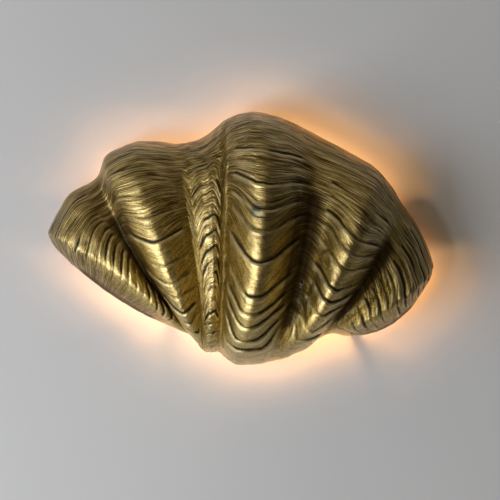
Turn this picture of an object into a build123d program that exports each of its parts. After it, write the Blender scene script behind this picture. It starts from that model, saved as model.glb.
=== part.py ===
"""Shell wall sconce: a hollow cast brass clam valve hooked on a lit wall plate.

Millimetres. X is right, Z is up and the wall is the plane y = 0, with the viewer on the
-Y side. The origin is the centre of the wall plate's back.
"""
from build123d import *
from math import cos, pi, sin
import os

os.makedirs("parts", exist_ok=True)

# ---------------------------------------------------------------- driving dimensions
# Shell. Each ray runs up the shell from its foot, near the beak, to its rim: odd ones are
# the crests of ribs and even ones the floors of grooves. In order, from the lower left:
# foot (x, z), how far its middle bows aside, rim (x, z), depth off the back plane, and how
# broad its floor is.
rays = [
    ((-77, -102), (-5, -8), (-221, -6), 46, 0.0),    # left edge
    ((-71, -104), (4, 9), (-227, 20), 64, 0.0),      # outer left rib
    ((-60, -110), (-6, -3), (-173, 77), 50, 0.3),
    ((-50, -122), (-5, -7), (-129, 118), 100, 0.0),  # left rib
    ((-45, -128), (7, -9), (-78, 117), 82, 0.3),
    ((-38, -128), (7, -7), (-45, 126), 90, 0.0),     # small rib
    ((-27, -129), (2, -7), (-20, 146), 84, 0.3),
    ((-6, -143), (13, -7), (21, 154), 136, 0.0),     # central rib
    ((34, -139), (12, -7), (86, 128), 92, 0.8),
    ((65, -127), (5, -2), (157, 88), 122, 0.0),      # right rib
    ((84, -115), (9, -5), (189, 44), 80, 0.3),
    ((101, -107), (9, -7), (223, -22), 76, 0.0),     # outer right rib
    ((121, -109), (9, -19), (221, -39), 60, 0.0),    # right edge
]
# The rim half way between each ray and the next.
shoulders = [
    (-229, 8), (-205, 56), (-161, 104), (-103, 120), (-62, 119), (-31, 137), (0, 153),
    (54, 144), (126, 107), (175, 67), (210, 11), (223, -31),
]
# Low straight sections, foot and rim, that close the shell and its cavity at both ends.
shell_ends = [((-112, -84), (-190, -30)), ((150, -111), (203, -77))]
cavity_ends = [((-112, -74), (-186, -24)), ((150, -97), (192, -72))]
low_depth = 3.0
# Growth ledges: where each crosses a ray, from 0 at its foot to 1 at its rim, and height.
ledges = [
    (0.100, 1.2), (0.160, 1.5), (0.222, 1.8), (0.298, 2.4), (0.365, 1.2), (0.434, 2.2),
    (0.549, 1.6), (0.629, 1.8), (0.725, 1.4), (0.846, 0.9),
]
ledge_drop = 0.02       # how much of a ray a ledge's drop takes
ledge_dip = 0.085       # how far a ledge dips towards the foot on a rib
rim_inset = 6.0         # from each ray's rim to the cavity
foot_inset = 20.0       # from each ray's foot to the cavity, where the metal is thick
inner_drop = 7.0        # how much less deep the cavity is than the outside
rim_gap = 12.0          # between the shell's back plane and the wall
shell_tilt = 0.12       # moves the deepest part of each rib towards its foot
shell_fullness = 0.25   # how square-shouldered the shell's profile is

# Fits
fit = 0.05              # round a screw, or round a piece seated in another
clear = 0.3             # between pieces that move past each other
tip_back = 0.5          # from a screw's tip to the far face of its hole

# Wall plate
plate_width, plate_height, plate_thick = 250.0, 96.0, 3.0
plate_corner = 10.0
slot_spacing_x, slot_spacing_z = 160.0, 64.0
slot_length, slot_width = 14.0, 5.2
cable_z, cable_hole_r = -32.0, 8.0

# Hooks and hangers
hook_x, hook_z = 105.0, 20.0
neck_r, flange_r, flange_thick = 4.0, 8.0, 2.5
hook_screw_r, hook_screw_head_r = 2.5, 5.0
hook_nut_flats, hook_nut_thick = 8.0, 4.0
hook_screw_out = 1.0    # how far a hook's screw stands out of its nut
hanger_back = 14.5      # from the wall to the hanger's rear face
hanger_thick = 3.0
lift = 14.0             # how far the shell lifts off the hooks
hanger_margin = 6.0     # metal round the keyhole
hanger_edge = 3.0       # metal round the washers
keyhole_room = 0.7      # round a hook's flange in the keyhole
lug_left_x, lug_right_x = -182.0, 180.0
lug_screw_spacing = 20.0
hanger_screw_r, hanger_head_r, hanger_head_thick = 2.0, 3.8, 2.4
washer_r, washer_thick = 4.5, 0.8
hanger_screw_length = 12.0
drive_wide, drive_cross, drive_deep = 0.9, 4.6, 1.0     # the screws' slot and cross
screw_r = 2.0           # bracket and earth screws

# Lugs cast inside the shell, and the spacers screwed to the lower two
lug_depth = 13.0
lug_tall = 34.0
lug_reach = 16.0        # from the screws' line to the lug's inner end
lug_out = 80.0          # from there outwards, to be cut by the shell
spacer_places = [(-84, -78), (122, -88)]
spacer_lug = 34.0
spacer_r, spacer_stud_r, spacer_stud_length = 5.0, 2.5, 9.0
tip_r, tip_thick, tip_peg_r, tip_peg_length = 6.0, 3.0, 2.0, 4.0

# Lamp bracket, a folded steel U
bracket_half = 31.5     # to the outside of each ear
bracket_thick = 1.5
bracket_tall = 32.0
bracket_reach = 49.0    # how far the ears stand off the plate
bracket_screw_x = 18.0
lamp_out, lamp_z = 36.0, 0.0    # the lamps' axis: off the wall, and up

# Lampholders
holder_base_long, holder_base_tall, holder_base_thick = 32.0, 15.0, 4.0
holder_body_r, holder_length = 8.5, 20.0
holder_screw_spacing = 23.0
holder_screw_r, holder_head_r, holder_head_thick = 1.5, 2.8, 1.8
pin_spacing, pin_wide, pin_thick, pin_length = 9.0, 2.2, 0.8, 7.5
pin_slot_wide, pin_slot_thick, pin_slot_deep = 3.4, 2.2, 11.0
contact_wide, contact_thick, contact_long = 2.4, 0.35, 10.0
wire_hole_r = 6.0

# Bulbs
bulb_base_r, bulb_base_length = 7.5, 11.0
bulb_r, bulb_length, bulb_glass_wall = 8.5, 40.0, 1.0

# Terminal block, earth and leads
block_width, block_tall, block_deep, block_z = 32.0, 17.0, 14.0, 28.0
pole_spacing = 10.0
block_screw_r, block_head_r, block_head_thick = 1.5, 2.8, 1.8
pole_screw_r, pole_screw_sunk, pole_hole_deep = 1.5, 1.0, 5.0
block_round = 1.0
earth_x = 48.0
tag_wide, tag_tall = 4.0, 14.0
earth_rise = 8.0        # how far the earth lead rises over the block
earth_stop = 10.0       # from the earth screw to the lead's end on its tag
lead_r, lead_bend = 0.9, 5.0
lead_pair = 2.4         # between two leads in one pole
lead_y, lead_z = 3.0, 3.0   # how far the leads enter off the lamps' axis
entry = 2.0             # how far a lead's end or a pin enters what holds it

# Cable grommet
grommet_wall, grommet_lip = 3.0, 2.0

# ---------------------------------------------------------------- the shell's form
last = len(rays) - 1
steps_along = 14        # points along a plain section
ledge_steps = 100       # points along a section with ledges
overrun = 3.0           # how far the forms run on behind the back plane
back_plane = Plane(origin=(0, -rim_gap, 0), z_dir=(0, -1, 0))
straight = Vector(0, 0)


def smooth(values, u):
    """Smooth value at u of a list of points, one for each whole number."""
    i = min(int(u), len(values) - 2)
    t = u - i

    def slope(k):
        below, above = max(k - 1, 0), min(k + 1, len(values) - 1)
        return (values[above] - values[below]) / (above - below)

    return (
        values[i] * (1 + 2 * t) * (1 - t) ** 2
        + slope(i) * (t * (1 - t) ** 2)
        + values[i + 1] * (t * t * (3 - 2 * t))
        + slope(i + 1) * (t * t * (t - 1))
    )


def ease(low, high, value):
    """From 0 at low to 1 at high, with a soft start and end."""
    t = min(max((value - low) / (high - low), 0), 1)
    return t * t * (3 - 2 * t)


feet = [Vector(*ray[0]) for ray in rays]
bows = [Vector(*ray[1]) for ray in rays]
rims = [Vector(*rays[0][2])]
for ray, shoulder in zip(rays[1:], shoulders):
    rims += [Vector(*shoulder), Vector(*ray[2])]


def ray_at(s):
    """Ray number at s, and the share of its depth that the shell's rounded end leaves."""
    if s < 1:
        return 1 - cos(pi * s / 2), sin(pi * s / 2)
    if s > last - 1:
        mirrored, share = ray_at(last - s)
        return last - mirrored, share
    return s, 1


def relief(u):
    """Depth of the ribs and grooves, measured where each is deepest."""
    i = min(int(u), last - 1)
    (here, floor_here), (there, floor_there) = rays[i][3:], rays[i + 1][3:]
    low, high = min(here, there), max(here, there)
    t = u - i if here < there else i + 1 - u
    floor = max(floor_here, floor_there)
    rise = (1 - floor) * sin(pi * t / 2) + floor * (0.5 - 0.5 * cos(pi * t))
    return low + (high - low) * rise


def ledge_height(u, v):
    """How far the ledges stand out at v along ray u: a slow climb to each, then a drop."""
    rib = 0.5 - 0.5 * cos(pi * u)
    dip = ledge_dip * ease(0, 0.12, v) * (1 - ease(0.55, 0.95, v))
    grown = v + dip * (rib - 0.5)
    before = 0
    for place, height in ledges:
        if before <= grown < place:
            climbed = ((grown - before) / (place - before)) ** 1.6
            return height * climbed * ease(0, ledge_drop, place - grown) * (0.35 + 0.65 * rib)
        before = place
    return 0


def section(foot, rim, bow, depth, insets=(0, 0), ledged_at=None):
    """Closed wire round one ray's arch and its flat line behind the back plane."""
    length = (rim - foot).length
    count = steps_along if ledged_at is None else ledge_steps
    evenly = [j / count for j in range(count + 1)]
    arch, line = [], []
    for turn in (pi * part for part in evenly):
        v = (insets[0] + (1 - cos(turn)) / 2 * (length - sum(insets))) / length
        flat = foot + (rim - foot) * v + bow * (4 * v * (1 - v))
        profile = sin(turn) * (1 + shell_tilt * cos(turn)) * (1 + shell_fullness * cos(turn) ** 2)
        out = depth * profile
        if ledged_at is not None:
            out += ledge_height(ledged_at, v) * sin(turn)
        arch.append(Vector(flat.X, -rim_gap - out, flat.Y))
        line.append(Vector(flat.X, overrun - rim_gap, flat.Y))
    return Wire([
        Edge.make_spline(arch, parameters=evenly),
        Edge.make_line(arch[-1], line[-1]),
        Edge.make_spline(line, parameters=evenly),
        Edge.make_line(line[0], arch[0]),
    ])


def dome(ends, first, steps_across, insets=(0, 0), sunk=0.0, ledged=False):
    """Solid dome ruled across the rays, with a few sections from one ray to the next."""
    count = round((last - 2 * first) * steps_across)
    wires = []
    for k in range(count + 1):
        u, share = ray_at(first + (last - 2 * first) * k / count)
        wires.append(section(smooth(feet, u), smooth(rims, 2 * u), smooth(bows, u),
                             (relief(u) - sunk) * share, insets, u if ledged else None))
    start, end = [
        section(Vector(*foot), Vector(*rim), straight, low_depth, ledged_at=at)
        for (foot, rim), at in zip(ends, (0, last) if ledged else (None, None))
    ]
    return Solid.make_loft([start, *wires, end], ruled=True)



# ---------------------------------------------------------------- shared helpers
def facing(x, out, z):
    """Plane at a distance out from the wall, facing the viewer; its Y is up."""
    return Plane(origin=(x, -out, z), x_dir=(1, 0, 0), z_dir=(0, -1, 0))


def finish(built, label):
    """Name a finished piece and write it."""
    built.part.label = label
    export_step(built.part, f"parts/{label}.step")


def round_rod(x, z, start, end, radius, mode=Mode.ADD):
    """Add a round rod square to the wall, between two distances from it."""
    with BuildSketch(facing(x, start, z)) as disc:
        Circle(radius)
    extrude(disc.sketch, amount=end - start, mode=mode)


def cross_rod(side, start, end, radius, out=0.0, up=0.0, mode=Mode.ADD):
    """Add a round rod along the lamps' axis, between two distances from the middle."""
    origin = (side * start, -lamp_out - out, lamp_z + up)
    with BuildSketch(Plane(origin=origin, x_dir=(0, -1, 0), z_dir=(side, 0, 0))) as disc:
        Circle(radius)
    extrude(disc.sketch, amount=end - start, mode=mode)


def lamp_plane(side, at):
    """Plane across the lamps' axis at a distance from the middle; its X is off the wall."""
    origin = (side * at, -lamp_out, lamp_z)
    return Plane(origin=origin, x_dir=(0, -1, 0), z_dir=(side, 0, 0))


sides = {"left": -1, "right": 1}
lug_x = {"left": lug_left_x, "right": lug_right_x}
lug_back = hanger_back + hanger_thick
lug_screws = [
    (x, hook_z + up * lug_screw_spacing / 2) for x in lug_x.values() for up in (-1, 1)
]

# ---------------------------------------------------------------- shell
shell_form = dome(shell_ends, 0.15, 3, ledged=True)
cavity_form = dome(cavity_ends, 0.9, 2, (foot_inset, rim_inset), inner_drop)

with BuildPart() as lugs:
    for side, x in lug_x.items():
        inner = x - sides[side] * lug_reach
        outer = x + sides[side] * lug_out
        with BuildSketch(facing((inner + outer) / 2, lug_back, hook_z)):
            Rectangle(lug_reach + lug_out, lug_tall)
        extrude(amount=lug_depth)
    for x, z in spacer_places:
        with BuildSketch(facing(x, lug_back, z)):
            Circle(spacer_lug / 2)
        extrude(amount=lug_depth)
    add(shell_form, mode=Mode.INTERSECT)

with BuildPart() as shell:
    add(shell_form)
    split(bisect_by=back_plane, keep=Keep.TOP)
    add(cavity_form, mode=Mode.SUBTRACT)
    add(lugs.part)
    for x, z in lug_screws:
        round_rod(x, z, lug_back, lug_back + hanger_screw_length - entry, hanger_screw_r + fit,
                  mode=Mode.SUBTRACT)
    for x, z in spacer_places:
        round_rod(x, z, lug_back, lug_back + spacer_stud_length + tip_back, spacer_stud_r + fit,
                  mode=Mode.SUBTRACT)
finish(shell, "shell")

# ---------------------------------------------------------------- hangers
key_r = flange_r + keyhole_room
slot_r = neck_r + clear
for name, side in sides.items():
    end_x = lug_x[name] + side * (washer_r + hanger_edge)
    inner_x = side * (hook_x - key_r - hanger_margin)
    low = hook_z - lift - key_r - hanger_margin
    high = hook_z + lug_screw_spacing / 2 + washer_r + hanger_edge
    with BuildPart() as hanger:
        with BuildSketch(facing((end_x + inner_x) / 2, hanger_back, (low + high) / 2)):
            RectangleRounded(abs(end_x - inner_x), high - low, hanger_margin)
        extrude(amount=hanger_thick)
        round_rod(side * hook_x, hook_z - lift, hanger_back, lug_back, key_r,
                  mode=Mode.SUBTRACT)
        round_rod(side * hook_x, hook_z, hanger_back, lug_back, slot_r, mode=Mode.SUBTRACT)
        with BuildSketch(facing(side * hook_x, hanger_back, hook_z - lift / 2)):
            Rectangle(2 * slot_r, lift)
        extrude(amount=hanger_thick, mode=Mode.SUBTRACT)
        for up in (-1, 1):
            round_rod(lug_x[name], hook_z + up * lug_screw_spacing / 2, hanger_back, lug_back,
                      hanger_screw_r + fit, mode=Mode.SUBTRACT)
    finish(hanger, f"hanger_{name}")

with BuildPart() as hanger_washers:
    for x, z in lug_screws:
        round_rod(x, z, hanger_back - washer_thick, hanger_back, washer_r)
        round_rod(x, z, hanger_back - washer_thick, hanger_back, hanger_screw_r + fit,
                  mode=Mode.SUBTRACT)
finish(hanger_washers, "hanger_washers")

with BuildPart() as hanger_screws:
    head_back = hanger_back - washer_thick - hanger_head_thick
    for x, z in lug_screws:
        round_rod(x, z, head_back, hanger_back - washer_thick, hanger_head_r)
        round_rod(x, z, head_back, head_back + hanger_screw_length, hanger_screw_r)
        with BuildSketch(facing(x, head_back, z)):
            Rectangle(2 * hanger_head_r, drive_wide)
            Rectangle(drive_wide, drive_cross)
        extrude(amount=drive_deep, mode=Mode.SUBTRACT)
finish(hanger_screws, "hanger_screws")

# ---------------------------------------------------------------- lower spacers
with BuildPart() as spacer_posts:
    for x, z in spacer_places:
        round_rod(x, z, tip_thick, lug_back, spacer_r)
        round_rod(x, z, lug_back, lug_back + spacer_stud_length, spacer_stud_r)
        round_rod(x, z, tip_thick, tip_thick + tip_peg_length + tip_back, tip_peg_r + fit,
                  mode=Mode.SUBTRACT)
finish(spacer_posts, "spacer_posts")

with BuildPart() as spacer_tips:
    for x, z in spacer_places:
        round_rod(x, z, 0, tip_thick, tip_r)
        round_rod(x, z, tip_thick, tip_thick + tip_peg_length, tip_peg_r)
finish(spacer_tips, "spacer_tips")

# ---------------------------------------------------------------- wall plate and hooks
with BuildPart() as wall_plate:
    with BuildSketch(facing(0, 0, 0)):
        RectangleRounded(plate_width, plate_height, plate_corner)
        with GridLocations(slot_spacing_x, slot_spacing_z, 2, 2):
            SlotOverall(slot_length, slot_width, mode=Mode.SUBTRACT)
        with Locations((0, cable_z)):
            Circle(cable_hole_r, mode=Mode.SUBTRACT)
    extrude(amount=plate_thick)
    for side in sides.values():
        round_rod(side * hook_x, hook_z, 0, plate_thick, hook_screw_r + fit,
                  mode=Mode.SUBTRACT)
        with BuildSketch(facing(side * hook_x, 0, hook_z)):
            Circle(hook_screw_head_r + fit)
        with BuildSketch(facing(side * hook_x, hook_screw_head_r - hook_screw_r, hook_z)):
            Circle(hook_screw_r + fit)
        loft(mode=Mode.SUBTRACT)
        round_rod(side * bracket_screw_x, lamp_z, 0, plate_thick, screw_r + fit,
                  mode=Mode.SUBTRACT)
    round_rod(pole_spacing / 2, block_z, 0, plate_thick, block_screw_r + fit,
              mode=Mode.SUBTRACT)
    round_rod(earth_x, block_z, 0, plate_thick, screw_r + fit,
              mode=Mode.SUBTRACT)
finish(wall_plate, "wall_plate")

neck_start = hanger_back - clear
neck_end = lug_back + clear
bush_end = neck_end + flange_thick
with BuildPart() as hook_bushes:
    for side in sides.values():
        x = side * hook_x
        round_rod(x, hook_z, plate_thick, neck_start, flange_r)
        round_rod(x, hook_z, neck_start, neck_end, neck_r)
        round_rod(x, hook_z, neck_end, bush_end, flange_r)
        round_rod(x, hook_z, plate_thick, bush_end, hook_screw_r + fit, mode=Mode.SUBTRACT)
finish(hook_bushes, "hook_bushes")

with BuildPart() as hook_nuts:
    for side in sides.values():
        with BuildSketch(facing(side * hook_x, bush_end, hook_z)):
            RegularPolygon(hook_nut_flats / 2, 6, major_radius=False)
            Circle(hook_screw_r + fit, mode=Mode.SUBTRACT)
        extrude(amount=hook_nut_thick)
finish(hook_nuts, "hook_nuts")

with BuildPart() as hook_screws:
    for side in sides.values():
        x = side * hook_x
        with BuildSketch(facing(x, 0, hook_z)):
            Circle(hook_screw_head_r)
        with BuildSketch(facing(x, hook_screw_head_r - hook_screw_r, hook_z)):
            Circle(hook_screw_r)
        loft()
        round_rod(x, hook_z, 0, bush_end + hook_nut_thick + hook_screw_out, hook_screw_r)
finish(hook_screws, "hook_screws")

# ---------------------------------------------------------------- lamp bracket
bracket_back = plate_thick
bracket_front = plate_thick + bracket_reach
with BuildPart() as lamp_bracket:
    with BuildSketch(Plane.XY.offset(lamp_z - bracket_tall / 2)):
        with BuildLine():
            Polyline(
                (-bracket_half, -bracket_front),
                (-bracket_half, -bracket_back),
                (bracket_half, -bracket_back),
                (bracket_half, -bracket_front),
                (bracket_half - bracket_thick, -bracket_front),
                (bracket_half - bracket_thick, -bracket_back - bracket_thick),
                (bracket_thick - bracket_half, -bracket_back - bracket_thick),
                (bracket_thick - bracket_half, -bracket_front),
                close=True,
            )
        make_face()
    extrude(amount=bracket_tall)
    ear_tips = lamp_bracket.edges().filter_by(Axis.X).group_by(Axis.Y)[0]
    fillet(ear_tips, bracket_tall / 4)
    for side in sides.values():
        round_rod(side * bracket_screw_x, lamp_z, bracket_back, bracket_back + bracket_thick,
                  screw_r + fit, mode=Mode.SUBTRACT)
        inside = bracket_half - bracket_thick
        cross_rod(side, inside, bracket_half, wire_hole_r, mode=Mode.SUBTRACT)
        for out in (-1, 1):
            cross_rod(side, inside, bracket_half, holder_screw_r + fit,
                      out=out * holder_screw_spacing / 2, mode=Mode.SUBTRACT)
finish(lamp_bracket, "lamp_bracket")

with BuildPart() as bracket_screws:
    for side in sides.values():
        x = side * bracket_screw_x
        head_start = bracket_back + bracket_thick
        round_rod(x, lamp_z, tip_back, head_start, screw_r)
        round_rod(x, lamp_z, head_start, head_start + hanger_head_thick, hanger_head_r)
        with BuildSketch(facing(x, head_start + hanger_head_thick - drive_deep, lamp_z)):
            Rectangle(2 * hanger_head_r, drive_wide)
            Rectangle(drive_wide, drive_cross)
        extrude(amount=drive_deep, mode=Mode.SUBTRACT)
finish(bracket_screws, "bracket_screws")

# ---------------------------------------------------------------- lampholders
holder_end = bracket_half + holder_length
for name, side in sides.items():
    with BuildPart() as lampholder:
        with BuildSketch(lamp_plane(side, bracket_half)):
            SlotOverall(holder_base_long, holder_base_tall)
        extrude(amount=holder_base_thick)
        cross_rod(side, bracket_half, holder_end, holder_body_r)
        for out in (-1, 1):
            place = lamp_plane(side, holder_end)
            with BuildSketch(place):
                with Locations((out * pin_spacing / 2, 0)):
                    Rectangle(pin_slot_wide, pin_slot_thick)
            extrude(amount=-pin_slot_deep, mode=Mode.SUBTRACT)
            cross_rod(side, bracket_half, bracket_half + holder_base_thick,
                      holder_screw_r + fit, out=out * holder_screw_spacing / 2,
                      mode=Mode.SUBTRACT)
            cross_rod(side, bracket_half, bracket_half + entry + tip_back, lead_r + fit,
                      out=out * lead_y, up=-out * lead_z, mode=Mode.SUBTRACT)
    finish(lampholder, f"lampholder_{name}")

with BuildPart() as holder_screws:
    for side in sides.values():
        for out in (-1, 1):
            offset_out = out * holder_screw_spacing / 2
            inside = bracket_half - bracket_thick
            cross_rod(side, inside - holder_head_thick, inside, holder_head_r, out=offset_out)
            cross_rod(side, inside, bracket_half + holder_base_thick - tip_back, holder_screw_r,
                      out=offset_out)
finish(holder_screws, "holder_screws")

with BuildPart() as holder_contacts:
    for side in sides.values():
        bottom = holder_end - pin_slot_deep
        for out in (-1, 1):
            with BuildSketch(lamp_plane(side, bottom)):
                with Locations((out * pin_spacing / 2, (pin_slot_thick - contact_thick) / 2)):
                    Rectangle(contact_wide, contact_thick)
            extrude(amount=contact_long)
finish(holder_contacts, "holder_contacts")

# ---------------------------------------------------------------- bulbs
bulb_start = holder_end + clear
glass_start = bulb_start + bulb_base_length
glass_end = glass_start + bulb_length
for name, side in sides.items():
    with BuildPart() as bulb_base:
        cross_rod(side, bulb_start, glass_start, bulb_base_r)
        with BuildSketch(lamp_plane(side, bulb_start)):
            with GridLocations(pin_spacing, 1, 2, 1):
                Rectangle(pin_wide, pin_thick)
        extrude(amount=entry, mode=Mode.SUBTRACT)
    finish(bulb_base, f"bulb_{name}_base")

    with BuildPart() as bulb_pins:
        with BuildSketch(lamp_plane(side, bulb_start - pin_length)):
            with GridLocations(pin_spacing, 1, 2, 1):
                Rectangle(pin_wide, pin_thick)
        extrude(amount=pin_length + entry)
    finish(bulb_pins, f"bulb_{name}_pins")

    with BuildPart() as bulb_glass:
        outside = Plane(origin=(0, -lamp_out, lamp_z), x_dir=(side, 0, 0), z_dir=(0, 0, 1))
        with BuildSketch(outside):
            with BuildLine():
                Line((glass_start, 0), (glass_start, bulb_r))
                Line((glass_start, bulb_r), (glass_end - bulb_r, bulb_r))
                RadiusArc((glass_end - bulb_r, bulb_r), (glass_end, 0), bulb_r)
                Line((glass_end, 0), (glass_start, 0))
            make_face()
        revolve(axis=Axis((0, -lamp_out, lamp_z), (1, 0, 0)))
        offset(amount=-bulb_glass_wall,
               openings=bulb_glass.faces().sort_by(Axis.X)[0 if side > 0 else -1])
    finish(bulb_glass, f"bulb_{name}_glass")

# ---------------------------------------------------------------- terminal block, earth
block_front = plate_thick + block_deep
poles = [-pole_spacing, 0, pole_spacing]
with BuildPart() as terminal_block:
    with BuildSketch(facing(0, plate_thick, block_z)):
        Rectangle(block_width, block_tall)
    extrude(amount=block_deep)
    fillet(terminal_block.edges().filter_by(Axis.Z), block_round)
    round_rod(pole_spacing / 2, block_z, plate_thick, block_front, block_screw_r + fit,
              mode=Mode.SUBTRACT)
    for x in poles:
        for up in (-1, 1):
            round_rod(x, block_z + up * block_tall / 4, block_front - pole_hole_deep, block_front,
                      pole_screw_r + fit, mode=Mode.SUBTRACT)
finish(terminal_block, "terminal_block")

with BuildPart() as terminal_screws:
    for x in poles:
        for up in (-1, 1):
            round_rod(x, block_z + up * block_tall / 4, block_front - pole_hole_deep + tip_back,
                      block_front - pole_screw_sunk, pole_screw_r)
finish(terminal_screws, "terminal_screws")

with BuildPart() as block_screw:
    round_rod(pole_spacing / 2, block_z, tip_back, block_front, block_screw_r)
    round_rod(pole_spacing / 2, block_z, block_front, block_front + block_head_thick, block_head_r)
finish(block_screw, "block_screw")

with BuildPart() as earth_tag:
    round_rod(earth_x, block_z, plate_thick, plate_thick + washer_thick, washer_r)
    with BuildSketch(facing(earth_x, plate_thick, block_z + tag_tall / 2)):
        Rectangle(tag_wide, tag_tall)
    extrude(amount=washer_thick)
    round_rod(earth_x, block_z, plate_thick, plate_thick + washer_thick, screw_r + fit,
              mode=Mode.SUBTRACT)
finish(earth_tag, "earth_tag")

washer_front = plate_thick + 2 * washer_thick
with BuildPart() as earth_washer:
    round_rod(earth_x, block_z, plate_thick + washer_thick, washer_front, washer_r)
    round_rod(earth_x, block_z, plate_thick + washer_thick, washer_front, screw_r + fit,
              mode=Mode.SUBTRACT)
finish(earth_washer, "earth_washer")

with BuildPart() as earth_screw:
    round_rod(earth_x, block_z, tip_back, washer_front, screw_r)
    round_rod(earth_x, block_z, washer_front, washer_front + hanger_head_thick, hanger_head_r)
finish(earth_screw, "earth_screw")

# ---------------------------------------------------------------- cable grommet
with BuildPart() as cable_grommet:
    round_rod(0, cable_z, 0, plate_thick, cable_hole_r)
    round_rod(0, cable_z, plate_thick, plate_thick + grommet_lip, cable_hole_r + grommet_lip)
    round_rod(0, cable_z, 0, plate_thick + grommet_lip, cable_hole_r - grommet_wall,
              mode=Mode.SUBTRACT)
finish(cable_grommet, "cable_grommet")


# ---------------------------------------------------------------- leads
def lead(points):
    """A round lead of straight runs joined by arcs."""
    with BuildPart() as wire:
        with BuildLine() as route:
            FilletPolyline(*points, radius=lead_bend)
        with BuildSketch(Plane(origin=route.line @ 0, z_dir=route.line % 0)):
            Circle(lead_r)
        sweep()
    return wire.part


block_low = block_z - block_tall / 2
lead_out = plate_thick + block_deep / 2
for name, pole, depth in (("live", -1, -1), ("neutral", 1, 1)):
    with BuildPart() as leads:
        for side in sides.values():
            x = pole * pole_spacing + side * lead_pair / 2
            deep = lamp_out + depth * lead_y
            up = lamp_z - depth * lead_z
            add(lead([
                (x, -lead_out, block_low),
                (x, -lead_out, up),
                (x, -deep, up),
                (side * (bracket_half + entry), -deep, up),
            ]))
    finish(leads, f"leads_{name}")

block_high = block_z + block_tall / 2
loop_z = block_high + earth_rise
tag_out = plate_thick + washer_thick + lead_r
with BuildPart() as lead_earth:
    add(lead([
        (0, -lead_out, block_high),
        (0, -lead_out, loop_z),
        (earth_x, -lead_out, loop_z),
        (earth_x, -tag_out, block_z + earth_stop),
    ]))
finish(lead_earth, "lead_earth")
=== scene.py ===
import math

import bmesh
import bpy
import numpy as np
from mathutils import Matrix, Vector


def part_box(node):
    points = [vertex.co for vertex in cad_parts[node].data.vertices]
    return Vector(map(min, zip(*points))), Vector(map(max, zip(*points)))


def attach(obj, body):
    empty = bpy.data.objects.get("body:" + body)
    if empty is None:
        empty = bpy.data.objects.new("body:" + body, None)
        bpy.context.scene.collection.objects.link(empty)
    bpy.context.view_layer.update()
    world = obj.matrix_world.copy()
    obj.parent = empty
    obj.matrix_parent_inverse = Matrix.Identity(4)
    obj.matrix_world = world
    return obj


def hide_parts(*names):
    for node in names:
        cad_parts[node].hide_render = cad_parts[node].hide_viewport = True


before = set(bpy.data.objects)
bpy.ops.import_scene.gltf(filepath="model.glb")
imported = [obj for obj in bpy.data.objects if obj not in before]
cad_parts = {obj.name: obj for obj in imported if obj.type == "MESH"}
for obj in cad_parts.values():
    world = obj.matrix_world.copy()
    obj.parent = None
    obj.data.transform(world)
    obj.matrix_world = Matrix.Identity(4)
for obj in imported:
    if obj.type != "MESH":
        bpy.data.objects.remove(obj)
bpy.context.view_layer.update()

scene = bpy.context.scene
scene.view_settings.view_transform = "Standard"
MM = 0.001

# ------------------------------------------------------------------ camera
# The photograph looks straight at the wall. 592 mm of it fill the 500 pixels.
VIEW_ACROSS, VIEW_CENTRE, VIEW_DISTANCE = 0.592, (0.0083, -0.0083), 3.6
SENSOR = 36.0
camera = bpy.data.objects.new("camera", bpy.data.cameras.new("camera"))
camera.data.sensor_width = SENSOR
camera.data.lens = SENSOR * VIEW_DISTANCE / VIEW_ACROSS
camera.location = (VIEW_CENTRE[0], -VIEW_DISTANCE, VIEW_CENTRE[1])
camera.rotation_euler = (math.radians(90), 0, 0)
scene.collection.objects.link(camera)
scene.camera = camera

# ------------------------------------------------------------------ the shell's form
# Each ray runs up the shell: foot, sideways bow half way, rim (x, z), depth and floor.
RAYS = [
    ((-77, -102), (-5, -8), (-221, -6), 46, 0.0),    # left edge
    ((-71, -104), (4, 9), (-227, 20), 64, 0.0),      # outer left rib
    ((-60, -110), (-6, -3), (-173, 77), 50, 0.3),
    ((-50, -122), (-5, -7), (-129, 118), 100, 0.0),  # left rib
    ((-45, -128), (7, -9), (-78, 117), 82, 0.3),
    ((-38, -128), (7, -7), (-45, 126), 90, 0.0),     # small rib
    ((-27, -129), (2, -7), (-20, 146), 84, 0.3),
    ((-6, -143), (13, -7), (21, 154), 136, 0.0),     # central rib
    ((34, -139), (12, -7), (86, 128), 92, 0.8),
    ((65, -127), (5, -2), (157, 88), 122, 0.0),      # right rib
    ((84, -115), (9, -5), (189, 44), 80, 0.3),
    ((101, -107), (9, -7), (223, -22), 76, 0.0),     # outer right rib
    ((121, -109), (9, -19), (221, -39), 60, 0.0),    # right edge
]
# Points of the rim half way between one ray and the next.
SHOULDERS = [
    (-229, 8), (-205, 56), (-161, 104), (-103, 120), (-62, 119), (-31, 137), (0, 153),
    (54, 144), (126, 107), (175, 67), (210, 11), (223, -31),
]
CREST_RAYS = [0, 1, 3, 7, 9, 11, 12]   # the high rays, without the small rib's
LAST = len(RAYS) - 1
RIM_GAP, LEAST_DEPTH = 12.0, 1.0
TILT, FULLNESS = 0.12, 0.25    # how far a ray's arch leans to its foot, and how square it is
CREST_EDGE = 0.12              # how far the ribs' crests are edges rather than round
GROOVE_ROUND = 0.05            # the half width, in rays, of the grooves' rounded floors
WAVER = 0.07                   # how far, in rays, a rib strays on its way up
ACROSS, ALONG = 320, 236       # quads of the outer skin; the inner skin has half as many
INNER = (7.0, 20.0, 6.0, 0.30)  # how far the inner skin is sunk and inset: foot, rim, ends


def hermite(values, u):
    """Smooth values at the numbers u of a list of points, one for each whole number."""
    values = np.asarray(values, float)
    i = np.minimum(u.astype(int), len(values) - 2)
    t = (u - i)[..., None]
    slopes = np.gradient(values, axis=0)
    a, b, m, n = values[i], values[i + 1], slopes[i], slopes[i + 1]
    return (a * (1 + 2 * t) * (1 - t) ** 2 + m * t * (1 - t) ** 2
            + b * t * t * (3 - 2 * t) + n * t * t * (t - 1))


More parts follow.
